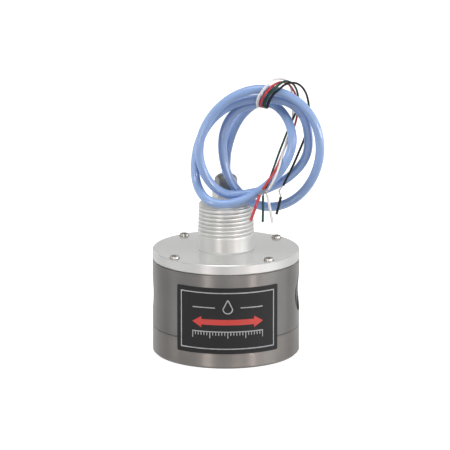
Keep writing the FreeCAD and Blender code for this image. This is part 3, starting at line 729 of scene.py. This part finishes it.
# the print: sizes, and places across and up from the label's middle
printed = {
    "frame": {"width": 47.0, "height": 27.6, "line": 0.5},
    "drop": {"up": 5.9, "size": 2.5, "line": 0.55, "pinch": 0.35, "stretch": 0.75, "steps": 48},
    "sideLines": {"across": 11.5, "up": 6.4, "width": 11.0, "line": 0.5},
    "arrow": {"up": -0.6, "length": 34.4, "shaft": 2.7, "head": 4.6, "flare": 0.6},
    "scale": {"up": -5.2, "width": 34.4, "line": 0.45},
    "ticks": {"count": 25, "apart": 1.417, "line": 0.4, "short": 1.8, "long": 3.2, "longEvery": 6},
}


def flatShape(points):
    bm = bmesh.new()
    bm.faces.new([bm.verts.new((x, y, 0)) for x, y in points])
    bm.normal_update()
    return bm


def boxPoints(width, height, x=0, y=0):
    return [
        (x - width / 2, y - height / 2), (x + width / 2, y - height / 2),
        (x + width / 2, y + height / 2), (x - width / 2, y + height / 2),
    ]


def roundCorners(bm, size, steps):
    bmesh.ops.bevel(
        bm, geom=bm.verts[:], offset=size, segments=steps, profile=0.5, affect="VERTICES", material=-1,
    )


def wrapOnHousing(bm, under, thick):
    bmesh.ops.triangulate(bm, faces=bm.faces)
    grown = bmesh.ops.extrude_face_region(bm, geom=bm.faces[:], use_keep_orig=True)["geom"]
    raised = [item for item in grown if isinstance(item, bmesh.types.BMVert)]
    bmesh.ops.translate(bm, vec=(0, 0, thick), verts=raised)
    cuts = int(label["width"] / label["cutEvery"])
    left = min(vert.co.x for vert in bm.verts)
    right = max(vert.co.x for vert in bm.verts)
    for index in range(1, cuts):
        x = (index / cuts - 0.5) * label["width"]
        if not left < x < right:
            continue
        geom = bm.verts[:] + bm.edges[:] + bm.faces[:]
        bmesh.ops.bisect_plane(
            bm, geom=geom, dist=label["cutNear"], plane_co=(x, 0, 0), plane_no=(1, 0, 0),
        )
    for vert in bm.verts:
        angle = math.radians(label["facing"]) + vert.co.x / label["housing"]
        reach = under + vert.co.z
        vert.co = (reach * math.cos(angle), reach * math.sin(angle), label["middle"] + vert.co.y)


def makeLabelFilm():
    bm = flatShape(boxPoints(label["width"], label["height"]))
    roundCorners(bm, label["corner"], label["cornerSteps"])
    wrapOnHousing(bm, label["under"], label["film"])
    newPiece("label_film_sheet", bm, labelFilm, ["label_plate"])


def makePrint(name, shapes, finish):
    whole = bmesh.new()
    inkUnder = label["under"] + label["film"] - label["inkSink"]
    for bm in shapes:
        wrapOnHousing(bm, inkUnder, label["ink"])
        mesh = bpy.data.meshes.new("print_shape")
        bm.to_mesh(mesh)
        bm.free()
        whole.from_mesh(mesh)
        bpy.data.meshes.remove(mesh)
    newPiece(name, whole, finish, (), label["sharpAngle"], near["printWeld"])


def ringOf(bm, thick):
    middle = bm.faces[:]
    bmesh.ops.inset_region(bm, faces=middle, thickness=thick, use_boundary=True, use_even_offset=True)
    bmesh.ops.delete(bm, geom=middle, context="FACES_ONLY")
    return bm


def dropShape(drop):
    bm = bmesh.new()
    bmesh.ops.create_circle(bm, cap_ends=True, segments=drop["steps"], radius=drop["size"])
    for vert in bm.verts:
        if vert.co.y > 0:
            rise = vert.co.y / drop["size"]
            vert.co.x *= 1 - drop["pinch"] * rise
            vert.co.y = drop["size"] * (rise + drop["stretch"] * rise ** 3)
        vert.co.y += drop["up"]
    bm.normal_update()
    return bm


def arrowPoints(arrow):
    tip = arrow["length"] / 2
    barb = tip - arrow["head"]
    flare = arrow["head"] * arrow["flare"]
    shaft = arrow["shaft"] / 2
    right = [(barb, -shaft), (barb, -flare), (tip, 0), (barb, flare), (barb, shaft)]
    left = [(-x, -y) for x, y in right]
    return [(x, arrow["up"] + y) for x, y in right + left]


def silverShapes():
    rim = printed["frame"]
    drop = printed["drop"]
    line = printed["sideLines"]
    scale = printed["scale"]
    ticks = printed["ticks"]
    shapes = [
        ringOf(flatShape(boxPoints(rim["width"], rim["height"])), rim["line"]),
        ringOf(dropShape(drop), drop["line"]),
    ]
    for side in (-1, 1):
        shapes.append(flatShape(boxPoints(line["width"], line["line"], side * line["across"], line["up"])))
    shapes.append(flatShape(boxPoints(scale["width"], scale["line"], 0, scale["up"])))
    for tick in range(ticks["count"]):
        tall = ticks["short"] if tick % ticks["longEvery"] else ticks["long"]
        across = (tick - (ticks["count"] - 1) / 2) * ticks["apart"]
        shapes.append(flatShape(boxPoints(ticks["line"], tall, across, scale["up"] - tall / 2)))
    return shapes


makeLabelFilm()
makePrint("label_print_silver", silverShapes(), labelSilver)
makePrint("label_print_red", [flatShape(arrowPoints(printed["arrow"]))], labelRed)
print("label wrapped")

# CAD nodes that keep their shape take these finishes
nodeFinishes = {
    "base_cover": darkBase, "top_cap": brightTurned, "dowel_pins": shaftSteel,
    "chamber_seal": sealRubber, "cap_seal": sealRubber, "gland_seal": sealRubber,
    "circuit_board": boardGreen, "board_screws": screwSteel, "hall_sensors": blackPlastic,
    "wire_terminal": blackPlastic, "tail_wires": whiteWire, "cable_tail": blueJacket,
    "oval_gear_a": gearResin, "gear_bush_a": bushCarbon, "gear_magnets_a": magnetPlate,
    "oval_gear_b": gearResin, "gear_bush_b": bushCarbon, "gear_magnets_b": magnetPlate,
    "gear_shaft_a": shaftSteel, "gear_shaft_b": shaftSteel,
}
for nodeName, finish in nodeFinishes.items():
    for place in nodes[nodeName].material_slots:
        place.material = finish
print("nodes finished:", len(nodeFinishes))


# floor, light and backdrop
floorLook = {
    "size": 1.6, "drop": 0.0001, "colour": 0.6, "mirrorShare": 0.7,
    "nearGlow": 0.72, "farGlow": 0.86, "glowFrom": 0.12, "glowFull": 0.8,
}


def makeFloor():
    finish = bpy.data.materials.new("pale_floor")
    finish.use_nodes = True
    tree = finish.node_tree
    tree.nodes.clear()
    matt = addNode(tree, "BsdfDiffuse")
    matt.inputs["Color"].default_value = (floorLook["colour"], floorLook["colour"], floorLook["colour"], 1)
    shine = addNode(tree, "Emission")
    ray = addNode(tree, "LightPath")
    reach = addNode(tree, "VectorMath", "LENGTH")
    mirrored = addNode(tree, "Math", "MULTIPLY")
    mirrored.inputs[1].default_value = floorLook["mirrorShare"]
    seen = addNode(tree, "Math", "ADD")
    strength = addNode(tree, "Math", "MULTIPLY")
    both = addNode(tree, "AddShader")
    end = addNode(tree, "OutputMaterial")
    tree.links.new(objectPlace(tree), reach.inputs[0])
    # the floor whitens away from the object, where less light falls
    away = (floorLook["glowFrom"], floorLook["glowFull"])
    glow = (floorLook["nearGlow"], floorLook["farGlow"])
    mapBetween(tree, reach.outputs["Value"], away, glow, strength.inputs[1])
    tree.links.new(ray.outputs["Is Glossy Ray"], mirrored.inputs[0])
    tree.links.new(ray.outputs["Is Camera Ray"], seen.inputs[0])
    tree.links.new(mirrored.outputs[0], seen.inputs[1])
    tree.links.new(seen.outputs[0], strength.inputs[0])
    tree.links.new(strength.outputs[0], shine.inputs["Strength"])
    tree.links.new(matt.outputs[0], both.inputs[0])
    tree.links.new(shine.outputs[0], both.inputs[1])
    tree.links.new(both.outputs[0], end.inputs["Surface"])
    bm = bmesh.new()
    floorPlace = Matrix.Translation((0, 0, -floorLook["drop"]))
    bmesh.ops.create_grid(bm, x_segments=1, y_segments=1, size=floorLook["size"], matrix=floorPlace)
    data = bpy.data.meshes.new("floor")
    bm.to_mesh(data)
    bm.free()
    data.materials.append(finish)
    floor = bpy.data.objects.new("floor", data)
    bpy.context.collection.objects.link(floor)


makeFloor()

skyLevels = {
    "diffuse": 0.15, "camera": 1.0, "ceiling": 0.6, "ceilingFrom": 0.42, "ceilingFull": 0.75,
    "front": 0.85, "behind": 0.58, "behindFrom": 0.1, "behindFull": 0.6, "behindTurn": 20,
}


def makeBackdrop():
    world = bpy.data.worlds.new("studio")
    bpy.context.scene.world = world
    world.use_nodes = True
    sky = world.node_tree
    backdrop = sky.nodes["Background"]
    backdrop.inputs["Color"].default_value = (1, 1, 1, 1)
    ray = addNode(sky, "LightPath")
    way = addNode(sky, "TexCoord").outputs["Generated"]
    height = addNode(sky, "SeparateXYZ")
    facing = addNode(sky, "VectorMath", "DOT_PRODUCT")
    facing.inputs[1].default_value = -fromAim(skyLevels["behindTurn"], 0, 1).normalized()
    sky.links.new(way, height.inputs[0])
    sky.links.new(way, facing.inputs[0])
    # metal mirrors pale walls, a greyer one behind the object, and a darker ceiling
    walls = addNode(sky, "Math", "MULTIPLY")
    rise = (skyLevels["ceilingFrom"], skyLevels["ceilingFull"])
    ceiling = (skyLevels["camera"], skyLevels["ceiling"])
    mapBetween(sky, height.outputs["Z"], rise, ceiling, walls.inputs[0], True)
    back = (skyLevels["behindFrom"], skyLevels["behindFull"])
    behind = (skyLevels["front"], skyLevels["behind"])
    mapBetween(sky, facing.outputs["Value"], back, behind, walls.inputs[1], True)
    seen = addNode(sky, "Math", "ADD")
    seen.use_clamp = True
    sky.links.new(ray.outputs["Is Glossy Ray"], seen.inputs[0])
    sky.links.new(ray.outputs["Is Transmission Ray"], seen.inputs[1])
    mirrored = mapBetween(sky, seen.outputs[0], (0, 1), (skyLevels["diffuse"], 1))
    sky.links.new(walls.outputs[0], mirrored.inputs["To Max"])
    level = mapBetween(sky, ray.outputs["Is Camera Ray"], (0, 1), (0, skyLevels["camera"]))
    sky.links.new(mirrored.outputs["Result"], level.inputs["To Min"])
    sky.links.new(level.outputs["Result"], backdrop.inputs["Strength"])


makeBackdrop()

# plan angle from the camera, rise, distance, width, height, power, and which surfaces it lights
lamps = {
    "keyBox": (-14, 76, 1.4, 0.9, 0.9, 7.2, "all"),
    "leftFill": (-72, 30, 1.3, 0.6, 0.9, 9.0, "matt"),
    "rightFill": (76, 30, 1.3, 0.6, 0.9, 11.0, "matt"),
    "leftStrip": (-28, 1, 1.3, 0.24, 0.2, 3.2, "metal"),
    "frontStrip": (18, 1, 1.3, 0.4, 0.2, 1.6, "metal"),
    "rightStrip": (41.5, 1, 1.3, 0.2, 0.2, 3.6, "metal"),
    "rightWide": (68, 1, 1.3, 0.6, 0.2, 3.8, "metal"),
    "rightFar": (95, 1, 1.3, 0.5, 0.2, 1.2, "metal"),
    "leftSide": (-86, 1, 1.3, 0.24, 0.2, 0.5, "metal"),
    "leftBack": (-142, 9, 1.3, 0.4, 0.42, 0.4, "metal"),
    "rightBack": (138, 9, 1.3, 0.4, 0.42, 0.5, "metal"),
}
warmLamps = ("leftStrip", "frontStrip", "rightStrip")
warmTint = (1, 0.88, 0.85)
for lampName, (offset, rise, away, width, height, power, lights) in lamps.items():
    data = bpy.data.lights.new(lampName, "AREA")
    data.shape = "RECTANGLE"
    data.size = width
    data.size_y = height
    data.energy = power
    data.color = warmTint if lampName in warmLamps else (1, 1, 1)
    lamp = bpy.data.objects.new(lampName, data)
    bpy.context.collection.objects.link(lamp)
    lamp.location = fromAim(offset, rise, away)
    toObject = Vector((0, 0, view["aimHeight"])) - lamp.location
    lamp.rotation_euler = toObject.to_track_quat("-Z", "Y").to_euler()
    lamp.visible_camera = False
    lamp.visible_diffuse = lights != "metal"
    lamp.visible_glossy = lights != "matt"
bpy.context.scene.view_settings.view_transform = "Standard"
print("stage lit")
